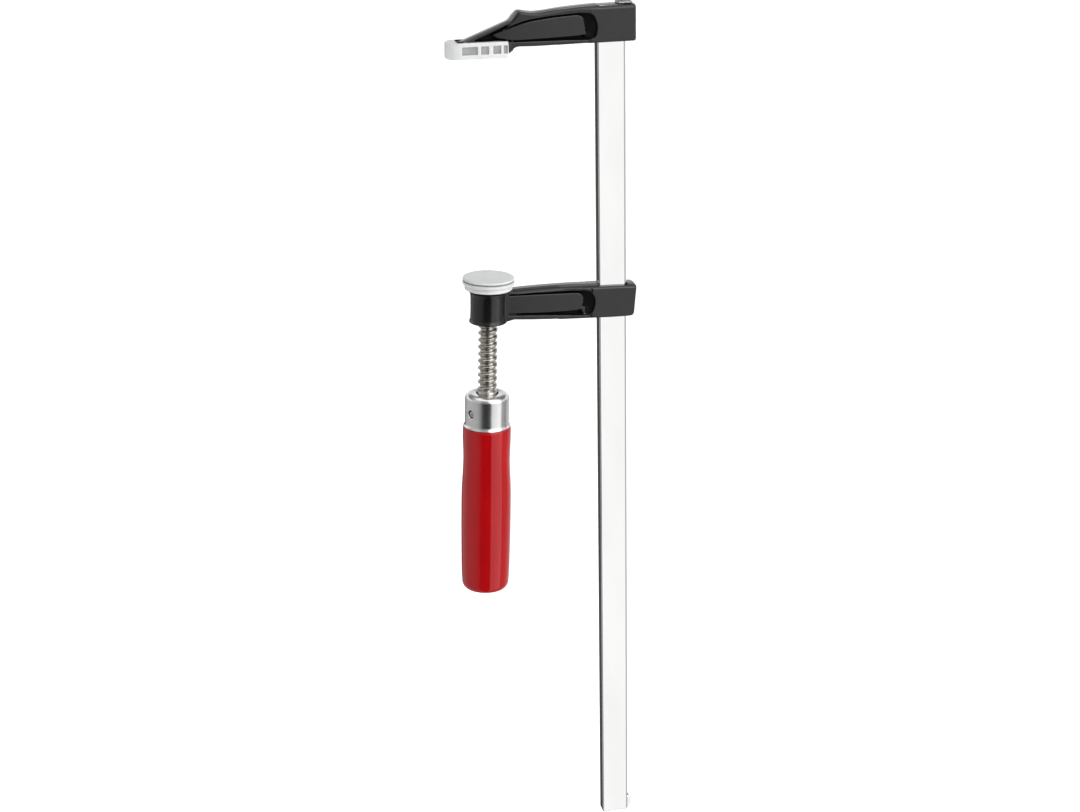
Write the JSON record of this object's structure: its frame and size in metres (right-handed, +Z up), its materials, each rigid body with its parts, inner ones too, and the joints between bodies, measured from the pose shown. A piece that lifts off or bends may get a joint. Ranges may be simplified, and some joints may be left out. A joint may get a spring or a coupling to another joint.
{
  "type": "f-clamp",
  "caption": "F-clamp: flat steel rail, cast fixed jaw with soft cap, sliding arm with screw, swivel pressure plate and turned wooden grip.",
  "frame": {"origin": "on the fixed jaw's clamping face, the underside of its cap, above the point where the screw's axis leaves the sliding arm", "axes": "+X from the screw to the rail, +Y away from the viewer, +Z up along the rail"},
  "size_m": [0.1326, 0.0368, 0.6245],
  "materials": {
    "rail_steel": "bright drawn",
    "black_paint": "semi-gloss black on a cast skin",
    "clear_plastic": "soft, translucent white",
    "cap_plastic": "soft, translucent pale grey",
    "screw_steel": "rolled, lightly oiled",
    "polished_steel": "polished",
    "red_lacquer": "gloss red lacquer"
  },
  "bodies": {
    "frame": {"rail": "rail_steel", "fixed_jaw": "black_paint"},
    "boot": {"jaw_cap": "clear_plastic"},
    "arm": {"sliding_arm": "black_paint"},
    "carriage": {"snap_ring": "screw_steel"},
    "screw": {"spindle": "screw_steel", "ferrule": "polished_steel", "grip": "red_lacquer", "cross_pin": "screw_steel"},
    "plate": {"pressure_plate": "screw_steel"},
    "plate_cover": {"plate_cap": "cap_plastic"}
  },
  "joints": [
    {"name": "arm_slide", "type": "slide", "parent": "frame", "child": "arm", "axis": [0, 0, -1], "range_m": [-0.152, 0.389]},
    {"name": "boot_pull", "type": "slide", "parent": "frame", "child": "boot", "axis": [-1, 0, 0], "range_m": [0, 0.045]},
    {"name": "screw_travel", "type": "slide", "parent": "arm", "child": "carriage", "axis": [0.0349, 0, 0.9994], "range_m": [0, 0.045]},
    {"name": "screw_turn", "type": "hinge", "parent": "carriage", "child": "screw", "pos_m": [0, 0, -0.1883], "axis": [0.0349, 0, 0.9994], "range_deg": [0, 3115]},
    {"name": "plate_tilt", "type": "hinge", "parent": "carriage", "child": "plate", "pos_m": [0.00089, 0, -0.16292], "axis": [0.9994, 0, -0.0349], "range_deg": [-6, 6]},
    {"name": "plate_cap_pull", "type": "slide", "parent": "plate", "child": "plate_cover", "axis": [0.0349, 0, 0.9994], "range_m": [0, 0.02]}
  ],
  "couplings": [
    {"joint": "screw_travel", "follows": "screw_turn", "m_per_rad": 0.00082761}
  ]
}
